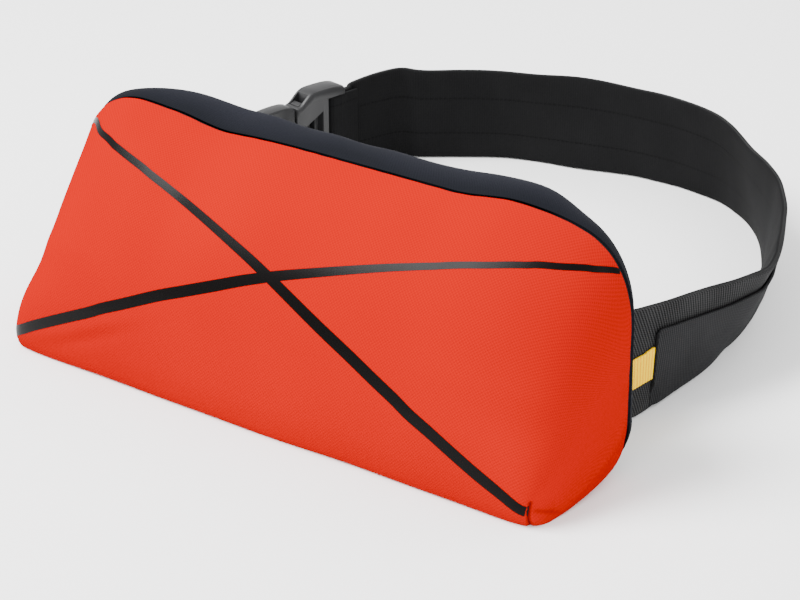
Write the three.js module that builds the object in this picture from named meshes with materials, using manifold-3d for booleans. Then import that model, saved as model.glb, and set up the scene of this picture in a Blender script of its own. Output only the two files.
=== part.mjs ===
// Inflatable belt pack: a wedge-shaped waist pouch on a wide webbing band, buckled into a loop.
// Millimetres, +Z up, +X along the pouch, -Y out of its front.
// The origin is the middle of the pouch's flat base. Pouch and band both stand on z = 0.

import * as THREE from 'three';
import { mergeVertices } from 'three/addons/utils/BufferGeometryUtils.js';
import Module from 'manifold-3d';

const wasm = await Module();
wasm.setup();

// Pouch sizes

const pouchHeight = 109;
const pouchDepth = 86.5;
const gussetDepth = 24;
const frontWall = 2;
const gussetWall = 3;
const backWall = 3;
const bindingWidth = 1.7;
const bindingThickness = 2.4;
const bindingInset = 0.8;
const fitGap = 0.3;

// The seam outline, where the front panel meets the gusset

const seamOutline = {
  half: 151.5,
  top: pouchHeight,
  rise: 3.5,
  cornerWidth: 42,
  cornerHeight: 45,
  cornerSquare: 2.3,
  baseCorner: 16,
  baseTall: 1.65,
  lift: 0,
  shift: 0,
  dips: [{ at: -76, width: 24, depth: 2.2 }, { at: 122, width: 14, depth: 1.8 }],
};

// The back outline, a little smaller, with wider corners

const backOutline = {
  half: 137,
  top: pouchHeight + 0.5,
  rise: 2.2,
  cornerWidth: 54,
  cornerHeight: 51,
  cornerSquare: 2.1,
  baseCorner: 22,
  baseTall: 1,
  lift: 3,
  shift: -4.5,
  dips: [],
};

// The share of the half width over which each shoulder of the top edge rises

const shoulder = { from: 0.4, to: 0.62 };
const frontBaseCorner = 4.5;
const cornerGrowth = 0.36;
const frontTaper = 0.033;
const gussetRoll = 5.5;

// The front's foot sits a little to the left and sags forwards over its left part, between two places on x

const footShift = -2.8;
const footSag = { depth: 1.8, from: 60, to: -20 };

// Front panel profile, from the top seam down the face and back under the base.
// height: share of the pouch height; reach: share of the front reach; square: how boxed the ends are.

const frontProfile = [
  { height: 1.0, reach: 0.0, square: 2.2 },
  { height: 0.962, reach: 0.165, square: 2.25 },
  { height: 0.88, reach: 0.375, square: 2.45 },
  { height: 0.775, reach: 0.57, square: 2.85 },
  { height: 0.645, reach: 0.752, square: 3.4 },
  { height: 0.495, reach: 0.885, square: 4.3 },
  { height: 0.33, reach: 0.965, square: 6.5 },
  { height: 0.17, reach: 1.0, square: 15 },
  { height: 0.075, reach: 0.995, square: 20 },
  { height: 0.02, reach: 0.965, square: 20 },
  { height: 0.0, reach: 0.9, square: 20 },
  { height: 0.0, reach: 0.45, square: 26 },
  { height: 0.0, reach: 0.0, square: 26 },
];

// Gusset rings, from the seam to the back.
// depth: share of the gusset depth; mix: share of the way to the back outline;
// crown: share of the bulge; roll: share of the rolled edge.

const gussetCrown = 2.8;

const gussetRings = [
  { depth: 0.0, mix: 0.0, crown: 0, roll: 0 },
  { depth: 0.25, mix: 0.18, crown: 0.8, roll: 0 },
  { depth: 0.55, mix: 0.46, crown: 1.0, roll: 0 },
  { depth: 0.8, mix: 0.8, crown: 0.7, roll: 0.08 },
  { depth: 0.94, mix: 1.0, crown: 0.2, roll: 0.4 },
  { depth: 1.0, mix: 1.0, crown: 0, roll: 1.0 },
];

// Crossed film stripes on the front panel.
// across: share of the panel's width from its right end; down: share of the profile from the top seam;
// width: share of the stripe's full width.

const stripeWidth = 5.2;
const stripeFilm = 0.4;
const stripePaths = [
  [
    { across: 0.802, down: 0.663, width: 0.95 },
    { across: 0.7825, down: 0.6393, width: 0.95 },
    { across: 0.754, down: 0.5961, width: 0.96 },
    { across: 0.7104, down: 0.5454, width: 0.97 },
    { across: 0.6716, down: 0.4966, width: 0.99 },
    { across: 0.6314, down: 0.4495, width: 1.01 },
    { across: 0.5892, down: 0.4125, width: 1.02 },
    { across: 0.5225, down: 0.3519, width: 0.96 },
    { across: 0.4724, down: 0.3125, width: 0.87 },
    { across: 0.3689, down: 0.2431, width: 0.7 },
    { across: 0.3243, down: 0.2236, width: 0.66 },
    { across: 0.277, down: 0.209, width: 0.61 },
    { across: 0.2252, down: 0.1856, width: 0.58 },
    { across: 0.1509, down: 0.1572, width: 0.57 },
    { across: 0.1109, down: 0.1208, width: 0.55 },
    { across: 0.093, down: 0.0858, width: 0.52 },
    { across: 0.0815, down: 0.0459, width: 0.5 },
    { across: 0.0765, down: 0.022, width: 0.5 },
  ],
  [
    { across: 0.9298, down: 0.022, width: 0.55 },
    { across: 0.9215, down: 0.0418, width: 0.55 },
    { across: 0.9043, down: 0.0827, width: 0.55 },
    { across: 0.8652, down: 0.1523, width: 0.56 },
    { across: 0.8173, down: 0.1794, width: 0.6 },
    { across: 0.7725, down: 0.1919, width: 0.64 },
    { across: 0.7245, down: 0.2053, width: 0.67 },
    { across: 0.675, down: 0.2201, width: 0.69 },
    { across: 0.6189, down: 0.25, width: 0.72 },
    { across: 0.5685, down: 0.2856, width: 0.78 },
    { across: 0.5229, down: 0.32, width: 0.86 },
    { across: 0.4747, down: 0.3633, width: 0.93 },
    { across: 0.4232, down: 0.4125, width: 1.01 },
    { across: 0.3532, down: 0.4843, width: 1.05 },
    { across: 0.3083, down: 0.5368, width: 1.05 },
    { across: 0.2604, down: 0.5888, width: 1.05 },
    { across: 0.2376, down: 0.6166, width: 0.98 },
    { across: 0.2163, down: 0.6509, width: 0.92 },
    { across: 0.2061, down: 0.6574, width: 0.9 },
    { across: 0.1985, down: 0.658, width: 0.9 },
  ],
];

// Waist band sizes and its course: right side, far side, then the buckle on the left.
// side: share of half the loop's width; back: share of the loop's reach; lean: degrees that the top tips outwards.

const loopHalf = 150;
const loopReach = 267;
const bandHeight = 51.6;
const bandThickness = 3;
const bandEndDrop = { height: 4, from: 0.9 };

const bandCourse = [
  { side: -0.72, back: 0.007, lean: 0 },
  { side: -0.4, back: 0.007, lean: 0 },
  { side: 0.0, back: 0.007, lean: 0 },
  { side: 0.4, back: 0.007, lean: 0 },
  { side: 0.7, back: 0.007, lean: 0 },
  { side: 0.765, back: 0.017, lean: -1 },
  { side: 0.81, back: 0.045, lean: -3 },
  { side: 0.833, back: 0.085, lean: -2 },
  { side: 0.84, back: 0.118, lean: 1 },
  { side: 0.838, back: 0.167, lean: 7 },
  { side: 0.837, back: 0.26, lean: 15 },
  { side: 0.834, back: 0.33, lean: 21 },
  { side: 0.82, back: 0.395, lean: 26 },
  { side: 0.811, back: 0.45, lean: 24 },
  { side: 0.797, back: 0.497, lean: 20 },
  { side: 0.774, back: 0.555, lean: 16.5 },
  { side: 0.734, back: 0.63, lean: 11.5 },
  { side: 0.681, back: 0.712, lean: 5 },
  { side: 0.618, back: 0.78, lean: -2 },
  { side: 0.54, back: 0.846, lean: -8 },
  { side: 0.445, back: 0.906, lean: -9.5 },
  { side: 0.355, back: 0.947, lean: -9 },
  { side: 0.24, back: 0.982, lean: -7.5 },
  { side: 0.08, back: 0.998, lean: -5 },
  { side: -0.08, back: 0.998, lean: -3.5 },
  { side: -0.213, back: 0.983, lean: 0 },
  { side: -0.347, back: 0.961, lean: 2 },
  { side: -0.48, back: 0.947, lean: -3 },
  { side: -0.613, back: 0.921, lean: -4 },
  { side: -0.747, back: 0.869, lean: -2 },
  { side: -0.86, back: 0.824, lean: -3 },
  { side: -0.94, back: 0.793, lean: 0 },
];

// The strap from the pouch's left end towards the buckle, in the same shares

const strapCourse = [
  { side: -0.46, back: 0.0175, lean: 0 },
  { side: -0.62, back: 0.0175, lean: 0 },
  { side: -0.745, back: 0.022, lean: 0 },
  { side: -0.81, back: 0.05, lean: 0 },
  { side: -0.862, back: 0.105, lean: 0 },
  { side: -0.93, back: 0.18, lean: 0 },
  { side: -1.0, back: 0.26, lean: 0 },
  { side: -1.065, back: 0.33, lean: 0 },
];

const strapWidth = 40;
const strapThickness = 2;

// Cover strip and pull tape on the outside of the band, placed by row numbers of the band's course

const coverHeight = 37.5;
const coverThickness = 1.5;
const coverGap = 0.65;
const coverLift = 1.1;
const coverSpan = { from: 8.4, to: 30.5 };
const tapeWidth = 14.5;
const tapeThickness = 1.1;
const tapeSpan = { from: 5, to: 8.37 };
const tapeHeights = { from: 12, to: 15.5 };

// Buckle sizes: along is measured from the socket's mouth, half is half the width there

const buckleMouth = { side: -1.058, back: 0.528, height: 27.4 };
const buckleHeading = 10.6;
const socketThickness = 12;
const plugThickness = 9;
const cavityHalf = 18.5;
const cavityDepth = 16.5;
const cavityThickness = 7.6;
const pinSize = 4;
const slotHalf = strapWidth / 2 + 0.8;
const barHalf = 2.2;
const loopGap = 2.8;

// Where the webbing ends on the buckle's axis: its end, how far the loop's tails overlap it, the bar's inner edge

const bandEnd = { end: 38, tail: 45, bar: 26.6 };
const strapEnd = { end: -29, tail: -41, bar: -22 };

const socketEdge = [
  { along: 0, half: 20 },
  { along: 3, half: 21 },
  { along: 6, half: 23.4 },
  { along: 8.5, half: 25.4 },
  { along: 11.5, half: 26.8 },
  { along: 16, half: 27.2 },
  { along: 25, half: 27 },
  { along: 30, half: 26.3 },
  { along: 33, half: 25.3 },
  { along: 34.5, half: 23.6 },
];

const plugEdge = [
  { along: -26, half: 19.8 },
  { along: -24, half: 21.9 },
  { along: -15, half: 22.7 },
  { along: -6, half: 22.5 },
  { along: -1.5, half: 20.8 },
  { along: -fitGap, half: 18.6 },
];

// Openings in the socket: the prongs' side windows, the wide hole of its inner face and the sunk middle.
// The strap slots start at their own place along each half and end at its bar.

const sideWindow = { from: 1.8, to: 8.8, half: 16 };
const wideHole = [[18.8, -14.2], [18.8, 14.2], [6.5, 8.2], [6.5, -8.2]];
const sunkMiddle = [
  [-2, -14.5], [11.5, -22.6], [15.5, -21.6], [19, -20.8], [23, -20.8],
  [23, 20.8], [19, 20.8], [15.5, 21.6], [11.5, 22.6], [-2, 14.5],
];
const sunkDepth = 1;
const socketSlotFrom = 22.6;
const plugSlotFrom = -17.2;
const barReach = 8;

// The plug's middle guide and one of its two prongs, whose button stands in the side window

const guideEdge = [[-2, -pinSize / 2], [13, -pinSize / 2], [15, 0], [13, pinSize / 2], [-2, pinSize / 2]];
const prongEdge = [
  [-2, 9.5], [5, 11], [13, 13], [15.4, 15], [13.4, 17.4], [8.3, 17.9],
  [7.8, 20.2], [5.2, 21.6], [2.4, 20.6], [2.2, 15.8], [-2, 14.2],
];

// Mesh fineness

const endColumns = 10;
const faceColumns = 14;
const rowSpans = 2;
const outlineCorner = 9;
const outlineEdge = 10;
const courseSpans = 2;

const buckleTurn = THREE.MathUtils.degToRad(90 - buckleHeading);
const seamY = pouchDepth / 2 - gussetDepth;
const backY = pouchDepth / 2;
const frontReach = pouchDepth - gussetDepth;

const colours = {
  orange: new THREE.Color(0xe2452c),
  slate: new THREE.Color(0x343841),
  black: new THREE.Color(0x1b1b1c),
  graphite: new THREE.Color(0x3a3a3d),
  yellow: new THREE.Color(0xf0bb45),
  grey: new THREE.Color(0x4c4c50),
};

function cloth(colour, roughness) {
  return new THREE.MeshStandardMaterial({ color: colour, roughness, metalness: 0 });
}

function mix(a, b, share) {
  return a + (b - a) * share;
}

function ease(share) {
  const t = Math.min(1, Math.max(0, share));
  return t * t * (3 - 2 * t);
}

// A smooth value between the second and third of four table values

function smoothBetween(a, b, c, d, t) {
  const straight = 2 * b + (c - a) * t;
  const bend = (2 * a - 5 * b + 4 * c - d) * t * t + (3 * b - a - 3 * c + d) * t * t * t;
  return (straight + bend) / 2;
}

function tableRow(table, place) {
  const last = table.length - 1;
  const index = Math.min(last - 1, Math.floor(place));
  const rows = [index - 1, index, index + 1, index + 2].map((i) => table[Math.min(last, Math.max(0, i))]);
  const found = {};
  for (const name of Object.keys(table[0])) {
    found[name] = smoothBetween(...rows.map((row) => row[name]), place - index);
  }
  return found;
}

// Height of an outline's top edge and base edge at x

function dipAt(outline, x) {
  const dip = (here) => here.depth * Math.exp(-Math.pow((x - here.at) / here.width, 4));
  return outline.dips.reduce((sum, here) => sum + dip(here), 0);
}

function topAt(outline, x) {
  const away = Math.abs(x);
  const shoulderShare = (away / outline.half - shoulder.from) / (shoulder.to - shoulder.from);
  const edge = outline.top + outline.rise * ease(shoulderShare);
  const centre = outline.top + outline.rise - outline.cornerHeight;
  const into = Math.max(0, (away - outline.half + outline.cornerWidth) / outline.cornerWidth);
  const drop = Math.pow(Math.max(0, 1 - Math.pow(into, outline.cornerSquare)), 1 / outline.cornerSquare);
  return centre + (edge - centre) * drop - dipAt(outline, x);
}

function baseAt(outline, x, corner = outline.baseCorner) {
  const into = Math.max(0, (Math.abs(x) - outline.half + corner) / corner);
  return outline.lift + outline.baseTall * corner * (1 - Math.sqrt(Math.max(0, 1 - into * into)));
}

// Points round an outline, anticlockwise seen from the front, from the middle of the base

function outlinePoints(outline) {
  const half = (side) => {
    const points = [];
    const flatBase = outline.half - outline.baseCorner;
    for (let i = 0; i < outlineEdge; i += 1) {
      const x = (flatBase * i) / outlineEdge;
      points.push([x, baseAt(outline, x)]);
    }
    for (let i = 0; i < outlineCorner; i += 1) {
      const angle = (Math.PI / 2) * (i / outlineCorner);
      const x = flatBase + outline.baseCorner * Math.sin(angle);
      points.push([x, baseAt(outline, x)]);
    }
    for (let i = 0; i <= outlineCorner; i += 1) {
      const angle = (Math.PI / 2) * (i / outlineCorner);
      const into = Math.pow(Math.cos(angle), 2 / outline.cornerSquare);
      const x = outline.half - outline.cornerWidth * (1 - into);
      points.push([x, topAt(outline, side * x)]);
    }
    const flatTop = outline.half - outline.cornerWidth;
    for (let i = 1; i <= outlineEdge; i += 1) {
      const x = flatTop * (1 - i / outlineEdge);
      points.push([x, topAt(outline, side * x)]);
    }
    return points.map(([x, z]) => [side * x + outline.shift, z]);
  };
  return [...half(1), ...half(-1).slice(1, -1).reverse()];
}

// Moves each point of a closed outline inwards

function insetPoints(points, inset) {
  const count = points.length;
  return points.map(([x, z], i) => {
    const before = points[(i + count - 1) % count];
    const after = points[(i + 1) % count];
    const along = [after[0] - before[0], after[1] - before[1]];
    const length = Math.hypot(...along);
    return [x - (along[1] / length) * inset, z + (along[0] / length) * inset];
  });
}

function meshFrom(points, triangles) {
  const geometry = new THREE.BufferGeometry();
  geometry.setAttribute('position', new THREE.Float32BufferAttribute(points.flat(), 3));
  geometry.setIndex(triangles.flat());
  return geometry;
}

// Joins rings of equal length into a closed tube whose first and last rings also meet

function ringedSolid(rings) {
  const count = rings[0].length;
  const triangles = [];
  rings.forEach((ring, r) => {
    const next = (r + 1) % rings.length;
    for (let i = 0; i < count; i += 1) {
      const j = (i + 1) % count;
      const corners = [r * count + i, r * count + j, next * count + j, next * count + i];
      triangles.push([corners[0], corners[2], corners[1]], [corners[0], corners[3], corners[2]]);
    }
  });
  return meshFrom(rings.flat(), triangles);
}

// Front panel

function panelRow(place) {
  const row = tableRow(frontProfile, place);
  row.height = Math.max(0, row.height);
  row.share = place / (frontProfile.length - 1);
  return row;
}

// A point of one panel row on its right side (1) or left side (-1), from the rim (u = 0) to the middle (u = 1).
// The first half of u leaves the rim along the end face, the second half crosses the front.

function rowPoint(row, side, u) {
  const outline = seamOutline;
  const turn = Math.pow(0.5, 1 / row.square);
  let away = 1;
  let reach = 0;
  if (u < 0.5) {
    reach = turn * u * 2;
    away = Math.pow(1 - Math.pow(reach, row.square), 1 / row.square);
  } else {
    away = turn * (2 - 2 * u);
    reach = Math.pow(1 - Math.pow(away, row.square), 1 / row.square);
  }
  const near = row.reach * reach;
  const x = side * outline.half * away * (1 - frontTaper * near);
  const corner = mix(outline.baseCorner, frontBaseCorner, Math.pow(near, cornerGrowth));
  const low = baseAt(outline, x, corner);
  const rimTop = topAt(outline, side * outline.half);
  const rimLow = baseAt(outline, outline.half);
  const rimStart = mix(rimTop, rimLow, row.share) - mix(rimLow, rimTop, row.height);
  const z = mix(low, topAt(outline, x), row.height) + rimStart * (1 - ease(reach / turn));
  const foot = Math.pow(near, 2) * Math.pow(1 - row.height, 3);
  const sag = footSag.depth * ease((x - footSag.from) / (footSag.to - footSag.from));
  return new THREE.Vector3(x + footShift * foot, seamY - frontReach * near - sag * foot, z);
}

// Points at eased shares of the length of a path, its first point left out

function stepsAlong(path, count, density) {
  const lengths = [0];
  for (let i = 1; i < path.length; i += 1) {
    lengths.push(lengths[i - 1] + path[i].distanceTo(path[i - 1]));
  }
  const total = lengths[lengths.length - 1];
  const points = [];
  let index = 1;
  for (let i = 1; i <= count; i += 1) {
    const wanted = total * density(i / count);
    while (index < path.length - 1 && lengths[index] < wanted) {
      index += 1;
    }
    const step = lengths[index] - lengths[index - 1];
    const share = step > 0 ? Math.min(1, (wanted - lengths[index - 1]) / step) : 0;
    points.push(path[index - 1].clone().lerp(path[index], share));
  }
  return points;
}

// A whole row from the right rim to the left rim, its columns closest together at the front corners

function spreadRow(row) {
  const fine = 80;
  const half = (side) => {
    const stretch = (from, to) => {
      const path = [];
      for (let i = 0; i <= fine; i += 1) {
        path.push(rowPoint(row, side, mix(from, to, i / fine)));
      }
      return path;
    };
    const end = stepsAlong(stretch(0, 0.5), endColumns, (t) => 1 - Math.pow(1 - t, 1.25));
    const face = stepsAlong(stretch(0.5, 1), faceColumns, (t) => Math.pow(t, 1.15));
    return [rowPoint(row, side, 0), ...end, ...face];
  };
  return [...half(1), ...half(-1).slice(0, -1).reverse()];
}

function panelGrid() {
  const rows = (frontProfile.length - 1) * rowSpans;
  const grid = [];
  for (let r = 0; r <= rows; r += 1) {
    grid.push(spreadRow(panelRow(r / rowSpans)));
  }
  return grid;
}

// Outward direction at a grid point, from its neighbours

function gridNormal(grid, r, c) {
  const up = grid[Math.max(0, r - 1)][c];
  const down = grid[Math.min(grid.length - 1, r + 1)][c];
  const right = grid[r][Math.max(0, c - 1)];
  const left = grid[r][Math.min(grid[r].length - 1, c + 1)];
  const fall = down.clone().sub(up);
  return left.clone().sub(right).cross(fall).normalize();
}

function frontPanel() {
  const grid = panelGrid();
  const rows = grid.length;
  const columns = grid[0].length;
  const inner = grid.map((line, r) => line.map((point, c) => {
    const normal = gridNormal(grid, r, c);
    const offSeam = Math.min(1, (seamY - point.y) / (4 * frontWall));
    normal.setY(normal.y * offSeam).normalize();
    return point.clone().addScaledVector(normal, -frontWall);
  }));
  const points = [...grid.flat(), ...inner.flat()].map((p) => p.toArray());
  const innerStart = rows * columns;
  const at = (r, c) => r * columns + c;
  const triangles = [];
  for (let r = 0; r < rows - 1; r += 1) {
    for (let c = 0; c < columns - 1; c += 1) {
      const [a, b, d, e] = [at(r, c), at(r, c + 1), at(r + 1, c + 1), at(r + 1, c)];
      triangles.push([a, b, d], [a, d, e]);
      triangles.push([a + innerStart, d + innerStart, b + innerStart]);
      triangles.push([a + innerStart, e + innerStart, d + innerStart]);
    }
  }
  const rim = [];
  for (let c = 0; c < columns - 1; c += 1) {
    rim.push(at(0, c));
  }
  for (let r = 0; r < rows - 1; r += 1) {
    rim.push(at(r, columns - 1));
  }
  for (let c = columns - 1; c > 0; c -= 1) {
    rim.push(at(rows - 1, c));
  }
  for (let r = rows - 1; r > 0; r -= 1) {
    rim.push(at(r, 0));
  }
  rim.forEach((a, i) => {
    const b = rim[(i + 1) % rim.length];
    triangles.push([a, a + innerStart, b], [b, a + innerStart, b + innerStart]);
  });
  return meshFrom(points, triangles);
}

// Bands round the pouch behind the front panel

function seamBinding() {
  const outline = outlinePoints(seamOutline);
  const outer = insetPoints(outline, bindingInset);
  const inner = insetPoints(outline, bindingInset + bindingThickness);
  const near = seamY + fitGap;
  const far = near + bindingWidth;
  const rings = [[outer, near], [outer, far], [inner, far], [inner, near]];
  return ringedSolid(rings.map(([ring, y]) => ring.map(([x, z]) => [x, y, z])));
}

function gusset() {
  const start = seamY + bindingWidth + 2 * fitGap;
  const seam = outlinePoints(seamOutline);
  const back = outlinePoints(backOutline);
  const ringAt = (row, extra) => {
    const blended = seam.map(([x, z], i) => [mix(x, back[i][0], row.mix), mix(z, back[i][1], row.mix)]);
    const y = mix(start, backY, row.depth);
    const crown = (z) => row.crown * gussetCrown * ease(2 * z / pouchHeight - 1);
    return insetPoints(blended, row.roll * gussetRoll + extra).map(([x, z]) => [x, y, z + crown(z)]);
  };
  const outer = gussetRings.map((row) => ringAt(row, 0));
  const inner = gussetRings.map((row) => ringAt(row, gussetWall)).reverse();
  return ringedSolid([...outer, ...inner]);
}

function backPanel() {
  const edge = insetPoints(outlinePoints(backOutline), gussetRoll + gussetWall + fitGap);
  const shape = new THREE.Shape(edge.map(([x, z]) => new THREE.Vector2(x, z)));
  const geometry = new THREE.ExtrudeGeometry(shape, { depth: backWall, bevelEnabled: false, steps: 1 });
  geometry.rotateX(Math.PI / 2);
  geometry.translate(0, backY, 0);
  return geometry;
}

// Crossed stripes: two thin strips that follow the front panel, joined where they cross

function solidFrom(geometry) {
  const bare = geometry.clone();
  bare.deleteAttribute('normal');
  bare.deleteAttribute('uv');
  const merged = mergeVertices(bare, 1e-4);
  return new wasm.Manifold(new wasm.Mesh({
    numProp: 3,
    vertProperties: new Float32Array(merged.attributes.position.array),
    triVerts: new Uint32Array(merged.index.array),
  }));
}

function geometryFrom(solid) {
  const mesh = solid.getMesh();
  const geometry = new THREE.BufferGeometry();
  geometry.setAttribute('position', new THREE.BufferAttribute(new Float32Array(mesh.vertProperties), 3));
  geometry.setIndex(new THREE.BufferAttribute(new Uint32Array(mesh.triVerts), 1));
  return geometry;
}

function panelPoint(across, down) {
  const line = spreadRow(panelRow(down * (frontProfile.length - 1)));
  const place = across * (line.length - 1);
  const index = Math.min(line.length - 2, Math.floor(place));
  return line[index].clone().lerp(line[index + 1], place - index);
}

function panelNormal(across, down) {
  const step = 0.008;
  const right = panelPoint(Math.max(0, across - step), down);
  const left = panelPoint(Math.min(1, across + step), down);
  const above = panelPoint(across, Math.max(0, down - step));
  const below = panelPoint(across, Math.min(1, down + step));
  return left.sub(right).cross(below.sub(above)).normalize();
}

function stripe(path) {
  const steps = 44;
  const sections = [];
  for (let i = 0; i <= steps; i += 1) {
    const place = ((path.length - 1) * i) / steps;
    const here = tableRow(path, place);
    const ahead = tableRow(path, Math.min(path.length - 1, place + 0.01));
    const behind = tableRow(path, Math.max(0, place - 0.01));
    const centre = panelPoint(here.across, here.down);
    const normal = panelNormal(here.across, here.down);
    const along = panelPoint(ahead.across, ahead.down).sub(panelPoint(behind.across, behind.down)).normalize();
    const side = normal.clone().cross(along).normalize();
    const corner = (across, off) => centre.clone()
      .addScaledVector(side, (across * here.width * stripeWidth) / 2)
      .addScaledVector(normal, off)
      .toArray();
    const under = fitGap;
    const over = fitGap + stripeFilm;
    sections.push([corner(-1, under), corner(1, under), corner(1, over), corner(-1, over)]);
  }
  return sectionSolid(sections);
}

// Joins sections of equal length into a solid with flat ends

function sectionSolid(sections) {
  const count = sections[0].length;
  const triangles = [];
  for (let s = 0; s < sections.length - 1; s += 1) {
    for (let i = 0; i < count; i += 1) {
      const j = (i + 1) % count;
      const [a, b] = [s * count + i, s * count + j];
      const [c, d] = [(s + 1) * count + j, (s + 1) * count + i];
      triangles.push([a, b, c], [a, c, d]);
    }
  }
  const last = (sections.length - 1) * count;
  for (let i = 1; i < count - 1; i += 1) {
    triangles.push([0, i + 1, i], [last, last + i, last + i + 1]);
  }
  return meshFrom(sections.flat(), triangles);
}

function crossStripes() {
  const strips = stripePaths.map((path) => solidFrom(stripe(path)));
  return geometryFrom(strips[0].add(strips[1]));
}

// The band's course: a point on its foot, its outward direction and its lean

function courseRow(course, place) {
  const row = tableRow(course, place);
  const ahead = tableRow(course, Math.min(course.length - 1, place + 0.02));
  const behind = tableRow(course, Math.max(0, place - 0.02));
  const spot = (r) => new THREE.Vector3(r.side * loopHalf, backY + r.back * loopReach, 0);
  const along = spot(ahead).sub(spot(behind)).normalize();
  const outwards = new THREE.Vector3(along.y, -along.x, 0);
  return { foot: spot(row), outwards, lean: THREE.MathUtils.degToRad(row.lean) };
}

// A course's rows with three more at its buckle end, which lie straight on the buckle's axis

function courseToBuckle(course, { end, tail }) {
  const rows = [tail + Math.sign(tail), (tail + end) / 2, end].map((along) => ({
    side: buckleMouth.side + (along * Math.cos(buckleTurn)) / loopHalf,
    back: buckleMouth.back + (along * Math.sin(buckleTurn)) / loopReach,
    lean: 0,
  }));
  return [...course, ...rows];
}

// Half-row places along a course, so that layered strips share their bends

function placesAlong({ from, to }) {
  const places = [];
  for (let place = from; place < to; place += 1 / courseSpans) {
    places.push(place);
  }
  return [...places, to];
}

// A strip that follows a course, from low to high up its height and from inner to outer through it

function ribbon(course, { span, low, high, inner, outer, lift = 0, levels = 3 }) {
  const places = placesAlong(span);
  const sections = places.map((place, s) => {
    const row = courseRow(course, place);
    const upwards = row.outwards.clone().multiplyScalar(Math.sin(row.lean));
    upwards.z = Math.cos(row.lean);
    const through = row.outwards.clone().multiplyScalar(Math.cos(row.lean));
    through.z = -Math.sin(row.lean);
    const start = low(s / (places.length - 1));
    const end = high(s / (places.length - 1));
    const spot = (level, off) => {
      const point = row.foot.clone()
        .addScaledVector(upwards, mix(start, end, level / levels))
        .addScaledVector(through, off);
      point.z += lift;
      return point.toArray();
    };
    const section = [];
    for (let level = 0; level <= levels; level += 1) {
      section.push(spot(level, inner));
    }
    for (let level = levels; level >= 0; level -= 1) {
      section.push(spot(level, outer));
    }
    return section;
  });
  return sectionSolid(sections);
}

// How far the band's foot must rise where it leans, so that no corner goes under the floor

const bandLift = (bandThickness / 2) * Math.sin(THREE.MathUtils.degToRad(27));
const bandRows = courseToBuckle(bandCourse, bandEnd);
const strapRows = courseToBuckle(strapCourse, strapEnd);

function waistBand() {
  return ribbon(bandRows, {
    span: { from: 0, to: bandRows.length - 1 },
    low: () => 0,
    high: (step) => bandHeight - bandEndDrop.height * ease((step - bandEndDrop.from) / (1 - bandEndDrop.from)),
    inner: -bandThickness / 2,
    outer: bandThickness / 2,
    lift: bandLift,
  });
}

function bandCover() {
  const start = bandThickness / 2 + coverGap;
  return ribbon(bandRows, {
    span: coverSpan,
    low: () => coverLift,
    high: () => coverHeight,
    inner: start,
    outer: start + coverThickness,
    lift: bandLift,
  });
}

function pullTape() {
  const start = bandThickness / 2 + fitGap;
  const foot = (step) => mix(tapeHeights.from, tapeHeights.to, ease(step));
  return ribbon(bandRows, {
    span: tapeSpan,
    low: (step) => foot(step),
    high: (step) => foot(step) + tapeWidth,
    inner: start,
    outer: start + tapeThickness,
    lift: bandLift,
    levels: 1,
  });
}

// Buckle frame: along runs from the mouth to the socket's strap end, half across, through outwards

function placeBuckle(geometry) {
  geometry.rotateX(Math.PI / 2);
  geometry.rotateZ(buckleTurn);
  geometry.translate(buckleMouth.side * loopHalf, backY + buckleMouth.back * loopReach, buckleMouth.height);
  return geometry;
}

function edgeShape(edge) {
  const steps = 2;
  const side = [];
  for (let i = 0; i <= (edge.length - 1) * steps; i += 1) {
    const row = tableRow(edge, i / steps);
    side.push(new THREE.Vector2(row.along, row.half));
  }
  const other = side.slice().reverse().map((p) => new THREE.Vector2(p.x, -p.y));
  return new THREE.Shape([...side, ...other].reverse());
}

function plate(shape, thickness, bevel) {
  const geometry = new THREE.ExtrudeGeometry(shape, {
    depth: thickness - 2 * bevel,
    bevelEnabled: bevel > 0,
    bevelThickness: bevel,
    bevelSize: bevel,
    bevelOffset: -bevel,
    bevelSegments: 2,
    steps: 1,
  });
  geometry.translate(0, 0, bevel - thickness / 2);
  return solidFrom(geometry);
}

function block(fromAlong, toAlong, fromHalf, toHalf, thickness, through = 0) {
  const geometry = new THREE.BoxGeometry(toAlong - fromAlong, toHalf - fromHalf, thickness);
  geometry.translate((fromAlong + toAlong) / 2, (fromHalf + toHalf) / 2, through);
  return solidFrom(geometry);
}

// Cuts the slot behind a strap bar and thins the bar, so that a strap can go round it

function cutStrapBar(body, slotFrom, slotTo, barTo) {
  const depth = socketThickness;
  const side = barHalf + depth / 2;
  const over = Math.min(slotFrom, slotTo, barTo);
  const under = Math.max(slotFrom, slotTo, barTo);
  return body
    .subtract(block(Math.min(slotFrom, slotTo), Math.max(slotFrom, slotTo), -slotHalf, slotHalf, 2 * depth))
    .subtract(block(over, under, -slotHalf, slotHalf, depth, side))
    .subtract(block(over, under, -slotHalf, slotHalf, depth, -side));
}

function polygonPlate(points, thickness) {
  const shape = new THREE.Shape(points.map(([along, half]) => new THREE.Vector2(along, half)));
  return plate(shape, thickness, 0);
}

function buckleSocket() {
  const reach = 2 * slotHalf;
  let body = plate(edgeShape(socketEdge), socketThickness, 1.6);
  body = body.subtract(block(-barReach, cavityDepth, -cavityHalf, cavityHalf, cavityThickness));
  body = body.subtract(block(sideWindow.from, sideWindow.to, sideWindow.half, reach, cavityThickness));
  body = body.subtract(block(sideWindow.from, sideWindow.to, -reach, -sideWindow.half, cavityThickness));
  body = body.subtract(polygonPlate(wideHole, socketThickness).translate([0, 0, socketThickness / 2]));
  for (const face of [-1, 1]) {
    const sunk = polygonPlate(sunkMiddle, sunkDepth * 2);
    body = body.subtract(sunk.translate([0, 0, (face * socketThickness) / 2]));
  }
  body = cutStrapBar(body, socketSlotFrom, bandEnd.bar, bandEnd.bar + barReach);
  return placeBuckle(geometryFrom(body));
}

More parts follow.
